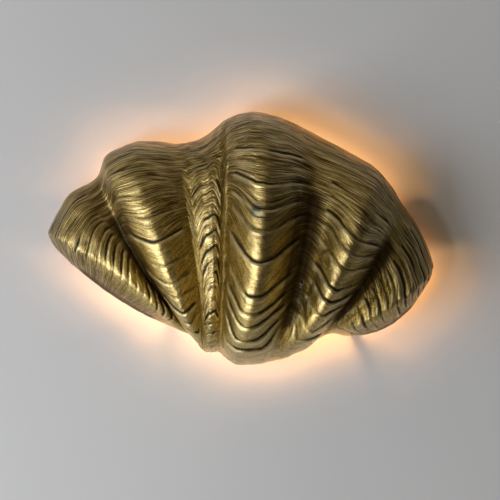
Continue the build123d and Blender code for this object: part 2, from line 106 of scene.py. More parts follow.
FOOT = [r[0] for r in RAYS]
BOW = [r[1] for r in RAYS]
RIM = [RAYS[0][2]]
for ray, shoulder in zip(RAYS[1:], SHOULDERS):
    RIM += [shoulder, ray[2]]


def relief(u):
    """Depth of the ribs and grooves, measured where each is deepest."""
    i = np.minimum(u.astype(int), LAST - 1)
    depth = np.array([r[3] for r in RAYS], float)
    floor = np.array([r[4] for r in RAYS])
    here, there = depth[i], depth[i + 1]
    low, high = np.minimum(here, there), np.maximum(here, there)
    t = np.where(here < there, u - i, i + 1 - u)
    t = (np.hypot(t, GROOVE_ROUND) - GROOVE_ROUND) / (math.hypot(1, GROOVE_ROUND) - GROOVE_ROUND)
    f = np.maximum(floor[i], floor[i + 1])
    round_rib = (1 - CREST_EDGE) * np.sin(np.pi * t / 2) + CREST_EDGE * t
    rise = (1 - f) * round_rib + f * (0.5 - 0.5 * np.cos(np.pi * t))
    return low + (high - low) * rise


def ray_number(s, inset=0.0):
    """Ray number at s, which runs from 0 to LAST with the ends' rays turned down."""
    first = 1 - (1 - inset) * np.cos(np.pi * np.clip(s, 0, 1) / 2)
    final = LAST - 1 + (1 - inset) * np.sin(np.pi * np.clip(s - LAST + 1, 0, 1) / 2)
    u = np.where(s < 1, first, np.where(s > LAST - 1, final, s))
    ends = np.where(s < 1, np.sin(np.pi * np.clip(s, 0, 1) / 2),
                    np.where(s > LAST - 1, np.cos(np.pi * np.clip(s - LAST + 1, 0, 1) / 2), 1))
    return u, ends


def arch(turn):
    """How a ray's depth rises from its foot, at turn 0, and falls to its rim, at pi."""
    return np.sin(turn) * (1 + TILT * np.cos(turn)) * (1 + FULLNESS * np.cos(turn) ** 2)


def form(s, turn, sunk=0.0, foot_inset=0.0, rim_inset=0.0, end_inset=0.0):
    """A skin's points in mm, ray numbers and shares of the way up, for arrays of s and turn."""
    u, ends = ray_number(s, end_inset)
    ends = ends ** (1 + 2 * end_inset)
    foot, rim, bow = hermite(FOOT, u), hermite(RIM, 2 * u), hermite(BOW, u)
    length = np.linalg.norm(rim - foot, axis=-1)
    v = (1 - np.cos(turn)) / 2
    v = (foot_inset + v * (length - foot_inset - rim_inset)) / length
    flat = foot + (rim - foot) * v[..., None] + bow * (4 * v * (1 - v))[..., None]
    out = np.maximum(relief(u) - sunk, LEAST_DEPTH) * ends * arch(turn)
    return np.stack([flat[..., 0], -RIM_GAP - out, flat[..., 1]], -1), u, v


# ------------------------------------------------------------------ noise and fades
def value_noise(a, b, seed):
    """Smooth noise from -1 to 1 at the points (a, b), one lattice cell to a unit."""
    size = 64
    lattice = np.random.RandomState(seed).uniform(-1, 1, (size, size))
    i, j = np.floor(a).astype(int), np.floor(b).astype(int)
    p, q = a - i, b - j
    p, q = p * p * (3 - 2 * p), q * q * (3 - 2 * q)
    i, j, k, l = i % size, j % size, (i + 1) % size, (j + 1) % size
    return ((lattice[i, j] * (1 - p) + lattice[k, j] * p) * (1 - q)
            + (lattice[i, l] * (1 - p) + lattice[k, l] * p) * q)


def fractal(a, b, seed, octaves=3):
    """Noise in octaves, each half as strong and half as large as the one before."""
    total, weight = 0.0, 1.0
    for k in range(octaves):
        total = total + weight * value_noise(a * 2 ** k, b * 2 ** k, seed + k)
        weight /= 2
    return total


def step(low, high, x):
    """0 up to low and 1 from high on, with a smooth rise between them."""
    t = np.clip((x - low) / (high - low), 0, 1)
    return t * t * (3 - 2 * t)


def band(start, full, fading, end, x):
    """1 between full and fading, and 0 outside start and end."""
    return step(start, full, x) * (1 - step(fading, end, x))


def waver(s, turn):
    """Ray numbers that let the ribs waver a little on their way up."""
    off = WAVER * fractal(turn * 1.7 + 3, s * 0.7, 91, 2) * step(0, 0.5, turn)
    return s + off * step(0, 0.5, np.pi - turn) * step(0, 1, s) * step(0, 1, LAST - s)


# ------------------------------------------------------------------ the outer skin
def ray_grid(across, along):
    """Arrays of s and turn for a skin with this many quads."""
    return np.meshgrid(np.linspace(0, LAST, across + 1), np.linspace(0, np.pi, along + 1),
                       indexing="ij")


S, TURN = ray_grid(ACROSS, ALONG)
points, U, V = form(waver(S, TURN), TURN)
d_s, d_t = np.gradient(points, axis=0), np.gradient(points, axis=1)
normals = np.cross(d_s, d_t)
normals /= np.maximum(np.linalg.norm(normals, axis=-1, keepdims=True), 1e-9)
if normals[ACROSS // 2, ALONG // 2, 1] > 0:
    normals = -normals
ribness = 0.5 - 0.5 * np.cos(np.pi * U)            # 1 on a crest and 0 in a groove
ray_length = np.linalg.norm(hermite(RIM, 2 * U) - hermite(FOOT, U), axis=-1)

# ------------------------------------------------------------------ growth lines
# G is a point's age: a growth line is where G has one value, and on a crest G is V.
# The lines lie in planes that lean, so they run down the flanks of each rib.
LEAN, LEAN_LOST = 0.95, 0.85                       # how far, and how much less at the rim
ARCHED = (3.92, 4.2, 5.85, 6.1)                    # rays of the small rib's own lines
ARCH_LEFT, ARCH_RIGHT, ARCH_LEVEL = 0.05, 0.10, 0.9
crest_depth = np.interp(U, CREST_RAYS, [RAYS[k][3] for k in CREST_RAYS])
lean = LEAN * step(0.02, 0.2, V) * (1 - LEAN_LOST * step(0.60, 0.9, V))
# On the small rib they arch over instead, and plunge into the grooves beside it.
arched = band(*ARCHED, U)
lean *= 1 - ARCH_LEVEL * arched
G = V + lean * (relief(U) - crest_depth) * arch(TURN) / ray_length
arcs = ARCH_LEFT * (1 - step(4.1, 4.75, U)) + ARCH_RIGHT * step(5.1, 5.9, U)
G += arcs * arched * step(0.10, 0.25, V) * (1 - step(0.72, 0.92, V))
G += 0.008 * fractal(U * 0.9, V * 3, 11, 2) + 0.0018 * fractal(U * 6, V * 9, 21, 2)

# mm of the surface to one unit of G, across its lines, so that all lines are equally wide
g_ss, g_tt, g_st = (d_s ** 2).sum(-1), (d_t ** 2).sum(-1), (d_s * d_t).sum(-1)
G_s, G_t = np.gradient(G, axis=0), np.gradient(G, axis=1)
area = np.maximum(g_ss * g_tt - g_st ** 2, 1e-6)
steepness = np.sqrt(np.maximum(g_tt * G_s ** 2 - 2 * g_st * G_s * G_t + g_ss * G_t ** 2, 0) / area)
reach = 1 / np.maximum(steepness, 0.3 / ray_length)

# ------------------------------------------------------------------ growth ledges
# Each rib's ledges: where they cross its crest, from 0 at its foot to 1 at its rim.
LEDGES = [
    (0.10, 0.15, 0.20, 0.26, 0.31, 0.36, 0.42, 0.47, 0.53, 0.59, 0.65, 0.72, 0.79, 0.87, 0.94),
    (0.087, 0.138, 0.191, 0.266, 0.34, 0.43, 0.55, 0.666, 0.77, 0.82, 0.89, 0.96),
    (0.10, 0.15, 0.20, 0.26, 0.32, 0.38, 0.44, 0.50, 0.57, 0.64, 0.72, 0.80, 0.88, 0.95),
    (0.065, 0.103, 0.167, 0.222, 0.298, 0.434, 0.549, 0.629, 0.725, 0.804, 0.852, 0.912, 0.956),
    (0.08, 0.132, 0.225, 0.30, 0.365, 0.474, 0.55, 0.627, 0.723, 0.80, 0.87, 0.93, 0.97),
    (0.10, 0.17, 0.25, 0.32, 0.40, 0.48, 0.56, 0.64, 0.71, 0.78, 0.85, 0.91, 0.96),
]
LEDGE_HEIGHTS = (2.0, 2.7, 1.7, 3.0, 2.8, 1.4)     # mm, on the lower part of each rib
OUTER_LEFT, SMALL, CENTRAL = 0, 2, 3               # these ribs' places in the two lists
CENTRAL_STRENGTHS = (0.9, 0.95, 0.95, 0.95, 0.78, 1.05, 0.5, 0.95, 0.95, 0.6, 0.85, 0.7, 0.75)
STRENGTHS, STRENGTH_NOISE = (0.46, 1.05), 0.34     # of the other ribs' ledges
RIM_LOSS = 0.62                                    # how much lower the ledges are at the rim
BIRTH = -0.05                                      # G where growth begins
PILLOW = 0.8                                       # mm, how far a growth band bulges
LIP = 2.6                                          # mm, over which a ledge drops
DARK_AT, BRIGHT_AT = 0.5, -2.2                     # mm past a ledge's edge, its painted shadow line and its painted highlight line
LINE_REACH = 6.0                                   # mm, how far a line's fade is followed

ledges, ledge_shadow_line, lip_highlight = 0 * V, 0 * V, 0 * V
owner = np.clip(np.round((U - 1) / 2).astype(int), 0, len(LEDGES) - 1)
strength_draw = np.random.RandomState(8)
for rib, (places, tall) in enumerate(zip(LEDGES, LEDGE_HEIGHTS)):
    mine = owner == rib
    before = BIRTH
    for n, place in enumerate(places):
        # how strong this ledge is along its own line
        strength = strength_draw.uniform(*STRENGTHS)
        if rib == CENTRAL:
            strength = CENTRAL_STRENGTHS[n]
        strength = strength + STRENGTH_NOISE * value_noise(
            U * 2.3 + 17 * rib, V * 0 + 370 * place, 31)
        strength = np.clip(strength, 0, 1) * (0.10 + 0.90 * step(0.0, 0.22, ribness))
        if rib == OUTER_LEFT:          # its lower flank is smooth
            strength = strength * (0.15 + 0.85 * step(0.35, 0.8, U))
        size = tall * (1 - RIM_LOSS * step(0.62, 0.85, V))
        on_band = mine & (G >= before) & (G < place)
        phase = np.clip((G - before) / (place - before), 0, 1)
        to_edge = (place - G) * reach
        rise = size * strength * phase ** 1.8 * step(0, LIP, to_edge)
        rise += PILLOW * (0.3 + 0.7 * strength) * np.sin(np.pi * phase ** 0.8)
        ledges = np.where(on_band, rise, ledges)
        # The painted shadow line just past each ledge's edge, and the painted highlight line on its
        # lip.
        for line, middle in ((ledge_shadow_line, DARK_AT), (lip_highlight, BRIGHT_AT)):
            near = strength * np.clip(1 - np.abs(-to_edge - middle) / LINE_REACH, 0, 1)
            line[...] = np.where(mine, np.maximum(line, near), line)
        before = place

# ------------------------------------------------------------------ fine striae
# They are strong near the rim, and all the way up the small rib.
FINE_COUNT, FINE_HEIGHTS = 44, (0.15, 0.6)         # striae on each ray, and mm
ARC_SHARE = 0.8
striated = np.clip(0.42 + 0.58 * step(0.42, 0.74, V)
                   + 0.8 * (owner == SMALL) * step(0.05, 0.5, ribness), 0, 1)
fine_draw = np.random.RandomState(5)
fine_gaps = fine_draw.uniform(0.5, 1.6, FINE_COUNT) * np.linspace(1.3, 0.6, FINE_COUNT)
fine_edges = np.concatenate([[BIRTH], BIRTH + np.cumsum(fine_gaps) / fine_gaps.sum() * 1.12])
fine_heights = fine_draw.uniform(*FINE_HEIGHTS, FINE_COUNT)
# V hardly changes on the steep faces at the ends of a ray, so the striae follow its arc.
arc = np.cumsum(np.linalg.norm(np.diff(points, axis=1, prepend=points[:, :1]), axis=-1), axis=1)
fine_at = G + ARC_SHARE * (arc / arc[:, -1:] - V) + 0.004 * fractal(U * 1.6, V * 3, 41, 2)
stria = np.clip(np.searchsorted(fine_edges, fine_at) - 1, 0, FINE_COUNT - 1)
span = fine_edges[stria + 1] - fine_edges[stria]
phase = np.clip((fine_at - fine_edges[stria]) / span, 0, 1)
fine = fine_heights[stria] * phase ** 1.5 * step(0, 0.010, (1 - phase) * span)
fine *= np.clip(0.55 + 0.6 * fractal(U * 1.4, V * 5, 51, 2), 0, 1.3) * (0.25 + 1.05 * striated)

# ------------------------------------------------------------------ unevenness and damage
# Height in mm, size in mm or in waves to a ray, and seed of each kind of unevenness.
LUMPS, SMALL_LUMPS, DENTS = (1.0, 34, 61), (0.42, 13, 66), (0.16, 8, 71)
RIPPLES, RADIAL_LINES = 0.55, (0.18, 5)
# Old damage: the place, width and depth of each pit in mm, each with a raised edge.
PITS = [(-90, 19, 6.5, 1.7), (26, 90, 3.5, 0.9), (-62, 62, 3.0, 0.6), (96, -8, 4.0, 0.8)]
MARGIN_SHARE = 0.25                                # how much of the relief is left near the margin


def uneven(high, size, seed):
    return high * fractal(points[..., 0] / size, points[..., 2] / size, seed, 2)


lumps = uneven(*LUMPS)
lumps += uneven(*SMALL_LUMPS)
dents = uneven(*DENTS)
ripples = RIPPLES * fractal(U * 3.1, fine_at * 24, 101, 3)
radial_high, radial_count = RADIAL_LINES
radial = radial_high * np.sin(U * 2 * np.pi * radial_count + 1.5 * fractal(U * 3, V * 3, 81, 2))
radial *= (1 - ribness * 0.7) * step(0.05, 0.3, V) * (1 - step(0.6, 0.85, V))
pits = 0 * V
for x, z, wide, deep in PITS:
    apart = np.hypot(points[..., 0] - x, points[..., 2] - z) / wide
    pits += deep * (0.35 * np.exp(-((apart - 1) / 0.35) ** 2) - np.exp(-1.8 * apart ** 2))

height = ledges + fine + lumps + dents + ripples + radial + pits
# All of it fades towards the margin, and the margin itself keeps its form.
hold = (step(0, 0.16, TURN) * step(0, 0.10, np.pi - TURN)
        * step(0, 0.35, S) * step(0, 0.35, LAST - S))
height *= MARGIN_SHARE + (1 - MARGIN_SHARE) * hold
height *= (step(0, 0.03, TURN) * step(0, 0.03, np.pi - TURN)
           * step(0, 0.06, S) * step(0, 0.06, LAST - S))
skin = points + normals * height[..., None]


# ------------------------------------------------------------------ where the metal is dark: patina and painted shade
def blur(grid, radius):
    """Box blur along both ways of a grid."""
    for axis in (0, 1):
        pad = [(0, 0), (0, 0)]
        pad[axis] = (radius + 1, radius)
        sums = np.cumsum(np.pad(grid, pad, "edge"), axis=axis)
        n = grid.shape[axis]
        high = np.take(sums, np.arange(2 * radius + 1, 2 * radius + 1 + n), axis=axis)
        low = np.take(sums, np.arange(0, n), axis=axis)
        grid = (high - low) / (2 * radius + 1)
    return grid


CREVICE_RADIUS, VALLEY_DARK, SMALL_RIB_LIGHT = 3, 0.93, 0.55
small = ledges + fine + 0.7 * ripples
crevice = np.clip(0.5 + (blur(small, CREVICE_RADIUS) - small) * 0.5, 0, 1)
# The grooves are painted dark: patina in the hollows, and painted shade where the grooves lie in
# shadow.
groove = (1 - ribness) * step(0.02, 0.2, V) * (1 - 0.75 * step(0.72, 0.92, V))
# The valleys right of the central rib and of the right rib are broad and painted dark: painted
# shade on these right-hand flanks, the first with patina too.
valley_shade_and_patina = band(7.36, 7.66, 8.12, 8.4, U)
valley_shade_and_patina += 0.9 * step(9.4, 9.75, U) * (1 - step(10.2, 10.55, U))
valley_shade_and_patina *= step(0.12, 0.3, V)
groove = np.maximum(groove, VALLEY_DARK * valley_shade_and_patina * (1 - step(0.70, 0.86, V)))
# The grooves on both sides of the small rib are lighter than the others: they get less of the
# painted shade.
groove *= 1 - SMALL_RIB_LIGHT * step(3.5, 3.9, U) * (1 - step(6.1, 6.5, U))

# ------------------------------------------------------------------ the shell's mesh
S_IN, TURN_IN = ray_grid(ACROSS // 2, ALONG // 2)
inside = form(waver(S_IN, TURN_IN), TURN_IN, *INNER)[0]

verts = np.concatenate([skin.reshape(-1, 3), inside.reshape(-1, 3)]) * MM
outer_id = np.arange(S.size).reshape(S.shape)
inner_id = S.size + np.arange(S_IN.size).reshape(S_IN.shape)


def quads(ids, flip):
    """Faces of a grid of corners."""
    a, b, c, d = ids[:-1, :-1], ids[1:, :-1], ids[1:, 1:], ids[:-1, 1:]
    order = [a, d, c, b] if flip else [a, b, c, d]
    return np.stack(order, -1).reshape(-1, 4).tolist()


def boundary(ids):
    """Ids round the edge of a grid, in one loop."""
    return np.concatenate([ids[:-1, 0], ids[-1, :-1], ids[:0:-1, -1], ids[0, :0:-1]])


# Lugs cast inside the shell take the screws of the hangers and spacers. Sizes are in mm.
LUG_BACK, LUG_DEPTH, LUG_ROUND = 17.5, 13.0, 1.2
HANGER_LUGS = [(-1, -182.0), (1, 180.0)]           # side, and x of the hanger's screws
LUG_REACH, LUG_OUT, LUG_TALL, LUG_Z = 16.0, 80.0, 34.0, 20.0
SPACER_LUGS, SPACER_LUG_R, SPACER_LUG_SIDES = [(-84, -78), (122, -88)], 17.0, 64
CORE_ACROSS, CORE_ALONG = 130, 80                  # quads of the skin that cuts them off


def lugs():
    """The lugs' corners in metres and their faces, cut off inside the shell's wall."""
    s, turn = ray_grid(CORE_ACROSS, CORE_ALONG)
    middle = form(waver(s, turn), turn, *(value / 2 for value in INNER))[0]
    ids = np.arange(s.size).reshape(s.shape)
    core_mesh = bpy.data.meshes.new("core")
    core_mesh.from_pydata((middle.reshape(-1, 3) * MM).tolist(), [],
                          quads(ids, False) + [boundary(ids).tolist()[::-1]])
    b = bmesh.new()
    b.from_mesh(core_mesh)
    bmesh.ops.recalc_face_normals(b, faces=b.faces)
    b.to_mesh(core_mesh)
    b.free()
    b = bmesh.new()
    across_wall = -(LUG_BACK + LUG_DEPTH / 2) * MM
    for side, x in HANGER_LUGS:
        wide = (LUG_REACH + LUG_OUT) * MM
        at = Matrix.Translation(((x + side * (LUG_OUT - LUG_REACH) / 2) * MM, across_wall,
                                 LUG_Z * MM))
        bmesh.ops.create_cube(b, size=1, matrix=at @ Matrix.Diagonal(
            (wide, LUG_DEPTH * MM, LUG_TALL * MM, 1)))
    for x, z in SPACER_LUGS:
        at = Matrix.Translation((x * MM, across_wall, z * MM))
        bmesh.ops.create_cone(b, cap_ends=True, segments=SPACER_LUG_SIDES,
                              radius1=SPACER_LUG_R * MM, radius2=SPACER_LUG_R * MM,
                              depth=LUG_DEPTH * MM,
                              matrix=at @ Matrix.Rotation(math.pi / 2, 4, "X"))
    sharp = [edge for edge in b.edges if edge.calc_face_angle(0) > 0.5]
    bmesh.ops.bevel(b, geom=sharp, offset=LUG_ROUND * MM, segments=3, affect="EDGES", profile=0.5)
    lug_mesh = bpy.data.meshes.new("lugs")
    b.to_mesh(lug_mesh)
    b.free()
    core = bpy.data.objects.new("core", core_mesh)
    lug = bpy.data.objects.new("lugs", lug_mesh)
    for made in (core, lug):
        scene.collection.objects.link(made)
    cut = lug.modifiers.new("cut", "BOOLEAN")
    cut.operation, cut.solver, cut.object = "INTERSECT", "EXACT", core
    result = lug.evaluated_get(bpy.context.evaluated_depsgraph_get()).to_mesh()
    corners = [tuple(v.co) for v in result.vertices]
    sides = [list(face.vertices) for face in result.polygons]
    for made, mesh in ((lug, lug_mesh), (core, core_mesh)):
        bpy.data.objects.remove(made)
        bpy.data.meshes.remove(mesh)
    return corners, sides


# The two skins meet in the margin's faces: two edges outside for each one inside.
faces = quads(outer_id, False) + quads(inner_id, True)
outer_loop, inner_loop = boundary(outer_id), boundary(inner_id)
for k in range(len(inner_loop)):
    a, b, c = outer_loop[2 * k], outer_loop[2 * k + 1], outer_loop[(2 * k + 2) % len(outer_loop)]
    p, q = inner_loop[k], inner_loop[(k + 1) % len(inner_loop)]
    faces.append([int(b), int(a), int(p)])
    faces.append([int(c), int(b), int(p), int(q)])

lug_corners, lug_faces = lugs()
smooth_count, skin_count = len(faces), len(verts)
faces += [[skin_count + i for i in face] for face in lug_faces]
verts = verts.tolist() + lug_corners

shell_mesh = bpy.data.meshes.new("shell_cast")
shell_mesh.from_pydata(verts, [], faces)
# What the finish follows: values on the outer skin, and one value for the inside.
for name, outer_values, inner_value in (
    ("crevice", crevice, 0.5), ("groove", groove, 0.2), ("along", V, 0.5),
    ("striated", striated, 0.0), ("inner", 0 * V, 1.0), ("across", U, 0.5),
    ("grown", fine_at, 0.5), ("ledge_shadow_line", ledge_shadow_line, 0.0), ("lip_highlight", lip_highlight, 0.0),
):
    layer = shell_mesh.attributes.new(name, "FLOAT", "POINT")
    layer.data.foreach_set("value", np.concatenate(
        [outer_values.ravel(), np.full(len(verts) - outer_id.size, inner_value)]
    ).astype(np.float32))
shell_mesh.polygons.foreach_set(
    "use_smooth", [True] * smooth_count + [False] * (len(faces) - smooth_count))
shell_mesh.validate()
shell_mesh.update()
shell = bpy.data.objects.new("shell_cast", shell_mesh)
scene.collection.objects.link(shell)


# ------------------------------------------------------------------ materials
class Tree:
    """A material's nodes, with short calls to add and join them."""

    def __init__(self, name):
        self.material = bpy.data.materials.new(name)
        self.material.use_nodes = True
        self.nodes, self.links = self.material.node_tree.nodes, self.material.node_tree.links
        self.shader = self.nodes["Principled BSDF"]

    def set(self, socket, value):
        if isinstance(value, bpy.types.NodeSocket):
            self.links.new(value, socket)
        elif isinstance(value, (tuple, list)) and len(value) == 3 and socket.type == "RGBA":
            socket.default_value = (*value, 1)
        else:
            socket.default_value = value

    def node(self, kind, output=0, inputs=(), **options):
        made = self.nodes.new(kind)
        for key, value in options.items():
            setattr(made, key, value)
        for key, value in dict(inputs).items():
            self.set(made.inputs[key], value)
        return made.outputs[output]

    def look(self, **sockets):
        """Set the shader's own sockets, named as in base_color."""
        for key, value in sockets.items():
            self.set(self.shader.inputs[key.replace("_", " ").title()], value)

    def place(self):
        return self.node("ShaderNodeTexCoord", "Object")

    def noise(self, scale, detail=4.0, rough=0.55, vector=None):
        return self.node("ShaderNodeTexNoise", "Fac", {
            "Vector": vector or self.place(), "Scale": scale, "Detail": detail,
            "Roughness": rough})

    def ramp(self, value, *stops):
        """Colour or grey at stops (position, colour) along a value."""
        made = self.nodes.new("ShaderNodeValToRGB")
        ends = made.color_ramp.elements
        while len(ends) < len(stops):
            ends.new(0.5)
        for element, (position, colour) in zip(ends, stops):
            element.position = position
            element.color = (*colour, 1)
        self.set(made.inputs["Fac"], value)
        return made.outputs["Color"]

    def range(self, value, low, high, start=0.0, end=1.0):
        """From low to high while the value goes from start to end."""
        return self.node("ShaderNodeMapRange", 0, {
            "Value": value, "From Min": start, "From Max": end, "To Min": low, "To Max": high})

    def math(self, operation, a, b):
        return self.node("ShaderNodeMath", 0, {0: a, 1: b}, operation=operation)

    def mix(self, factor, a, b):
        made = self.nodes.new("ShaderNodeMix")
        made.data_type = "RGBA"
        self.set(made.inputs["Factor"], factor)
        self.set(made.inputs[6], a)
        self.set(made.inputs[7], b)
        return made.outputs[2]

    def attribute(self, name):
        return self.node("ShaderNodeAttribute", "Fac", attribute_name=name)

    def bump(self, height, distance, strength, under=None):
        inputs = {"Height": height, "Distance": distance, "Strength": strength}
        if under is not None:
            inputs["Normal"] = under
        return self.node("ShaderNodeBump", 0, inputs)


# The brass in layers, from its own mottled tones to the dark of the crevices. The dark of grooves
# and crevices is patina and painted shade, the grooves' floors and the striae's dark are painted
# shade, and the bright colours of the lips and striae are painted highlights.
BRASS = ((0.30, (0.44, 0.285, 0.045)), (0.48, (0.65, 0.46, 0.09)), (0.72, (0.78, 0.60, 0.17)))
CAVITY = ((0.3, (0.25, 0.17, 0.07)), (0.7, (0.42, 0.31, 0.14)))
PATINA, PORES, GRAINS = (0.28, 0.17, 0.022), (0.18, 0.105, 0.012), (0.92, 0.75, 0.33)
GROOVE_PATINA_AND_SHADE, CREST, NEAR_RIM = (0.095, 0.044, 0.003), (0.82, 0.69, 0.38), (0.16, 0.092, 0.012)
STRIA_SHADE, STRIA_HIGHLIGHT = (0.055, 0.033, 0.008), (0.80, 0.65, 0.30)
WORN, LIP_HIGHLIGHT = (0.82, 0.70, 0.38), (0.86, 0.75, 0.44)
GROOVE_FLOOR_SHADE, STAINED, CREVICE_PATINA_AND_SHADOW = (0.035, 0.019, 0.004), (0.075, 0.10, 0.10), (0.020, 0.010, 0.002)
GRAIN_SCALE, COAT_WEIGHT, COAT_ROUGH = 520, 0.2, 0.14
# Growth lines too fine for the mesh, painted as lines of shade with bright highlights beside them:
# waves to a ray and up it, detail, how dark, from and to.
TINY_LINES = ((0.8, 58, 1.0, 0.75, 0.34, 0.42), (1.3, 140, 1.0, 0.7, 0.39, 0.46),
              (2.4, 330, 0.0, 0.55, 0.38, 0.48))
# A blue-grey stain on the central rib, at the skin's point nearest to this x and z in mm.
STAIN_X, STAIN_Z = 15.0, 38.0
at_stain = np.argmin((skin[..., 0] - STAIN_X) ** 2 + (skin[..., 2] - STAIN_Z) ** 2)
STAIN = tuple(float(v) * MM for v in skin.reshape(-1, 3)[at_stain])


def cast_brass():
    t = Tree("cast_brass")
    crevice, groove, along = t.attribute("crevice"), t.attribute("groove"), t.attribute("along")
    broad, middle, grain = t.noise(9, 5, 0.6), t.noise(45, 6, 0.65), t.noise(GRAIN_SCALE, 3, 0.65)
    # the tiny lines are noise drawn out along the growth lines
    across, grown = t.attribute("across"), t.attribute("grown")
    lines = []
    for wide, tight, detail, *_ in TINY_LINES:
        there = t.node("ShaderNodeCombineXYZ", 0, {
            0: t.math("MULTIPLY", across, wide), 1: t.math("MULTIPLY", grown, tight)})
        lines.append(t.noise(1.0, detail, 0.5, there))
    striated = t.attribute("striated")
    metal = t.ramp(broad, *BRASS)
    metal = t.mix(t.range(middle, 0, 0.45, 0.48, 0.78), metal, PATINA)
    metal = t.mix(t.range(grain, 0, 0.85, 0.50, 0.64), metal, PORES)
    metal = t.mix(t.range(grain, 0.85, 0, 0.33, 0.47), metal, GRAINS)
    # Grooves and valleys painted dark: patina, and painted shade.
    metal = t.mix(t.range(groove, 0, 0.72, 0.2, 0.95), metal, GROOVE_PATINA_AND_SHADE)
    metal = t.mix(t.range(groove, 0.36, 0, 0.03, 0.32), metal, CREST)
    metal = t.mix(t.range(along, 0, 0.74, 0.52, 0.88), metal, NEAR_RIM)
    # Each tiny line is painted dark as its shade and bright as its highlight.
    for line, (*_, amount, low, high) in zip(lines, TINY_LINES):
        stria = t.math("MULTIPLY", t.range(line, 1, 0, low, high), striated)
        metal = t.mix(t.math("MULTIPLY", stria, amount), metal, STRIA_SHADE)
        stria_highlight = t.math("MULTIPLY", t.range(line, 0, 1, 0.56, 0.66), striated)
        metal = t.mix(t.math("MULTIPLY", stria_highlight, 0.6), metal, STRIA_HIGHLIGHT)
    worn = t.range(t.math("ADD", crevice, t.range(middle, -0.08, 0.08)), 1, 0, 0.20, 0.44)
    metal = t.mix(t.math("MULTIPLY", worn, 0.5), metal, WORN)
    # Painted highlight along the lip beneath each ledge.
    painted_lip_mask = t.range(t.attribute("lip_highlight"), 0, 1, 0.62, 0.92)
    metal = t.mix(t.math("MULTIPLY", painted_lip_mask, 0.5), metal, LIP_HIGHLIGHT)
    # Painted shade: the grooves' floors are painted near black, which hides their reflection.
    groove_floor_shade = t.range(groove, 0, 0.85, 0.84, 0.98)
    metal = t.mix(groove_floor_shade, metal, GROOVE_FLOOR_SHADE)
    apart = t.node("ShaderNodeVectorMath", "Value", {0: t.place(), 1: STAIN}, operation="DISTANCE")
    stained = t.range(t.math("ADD", apart, t.range(middle, -0.004, 0.004)), 0.8, 0, 0.004, 0.011)
    metal = t.mix(stained, metal, STAINED)
    # Near black just past each ledge's edge, as its painted shadow, and in the deepest crevices, as
    # patina and painted shade.
    edge = t.math("ADD", t.attribute("ledge_shadow_line"), t.range(grain, -0.08, 0.08))
    dark = t.range(edge, 0, 1, 0.60, 0.80)
    sunk = t.range(crevice, 0, 1, 0.60, 0.85)
    dark = t.math("MAXIMUM", dark, t.math("MULTIPLY", sunk, 0.7))
    metal = t.mix(t.math("MULTIPLY", dark, 0.92), metal, CREVICE_PATINA_AND_SHADOW)
    metal = t.mix(t.attribute("inner"), metal, t.ramp(middle, *CAVITY))
    rough = t.math("ADD", t.range(grain, 0.28, 0.46), t.math("MULTIPLY", dark, 0.35))
    rough = t.math("ADD", rough, t.math("MULTIPLY", groove_floor_shade, 0.45))
    coarse = t.bump(t.noise(150, 5, 0.6), 0.0009, 0.20)
    relief_lines = t.math("ADD", lines[0], t.math("MULTIPLY", lines[1], 0.55))
    relief_lines = t.math("ADD", relief_lines, t.math("MULTIPLY", lines[2], 0.30))
    striae = t.bump(t.math("MULTIPLY", relief_lines, striated), 0.0018, 0.75, under=coarse)
    t.look(base_color=metal, metallic=1.0, roughness=rough,
           coat_weight=COAT_WEIGHT, coat_roughness=COAT_ROUGH,
           normal=t.bump(t.noise(GRAIN_SCALE, 4, 0.7), 0.0007, 0.9, under=striae))
    return t.material


PLAIN_BUMP = 0.0003


def plain(name, dark, light, scale, rough, metallic=0.0, bump=0.3, bump_scale=None, **more):
    """A finish with two mottled colours, uneven gloss and a fine bump."""
    t = Tree(name)
    t.look(base_color=t.ramp(t.noise(scale, 5, 0.6), (0.35, dark), (0.65, light)),
           metallic=metallic, roughness=t.range(t.noise(scale * 2.3, 4), *rough, 0.3, 0.7),
           normal=t.bump(t.noise(bump_scale or scale * 6, 4, 0.6), PLAIN_BUMP, bump), **more)
    return t.material


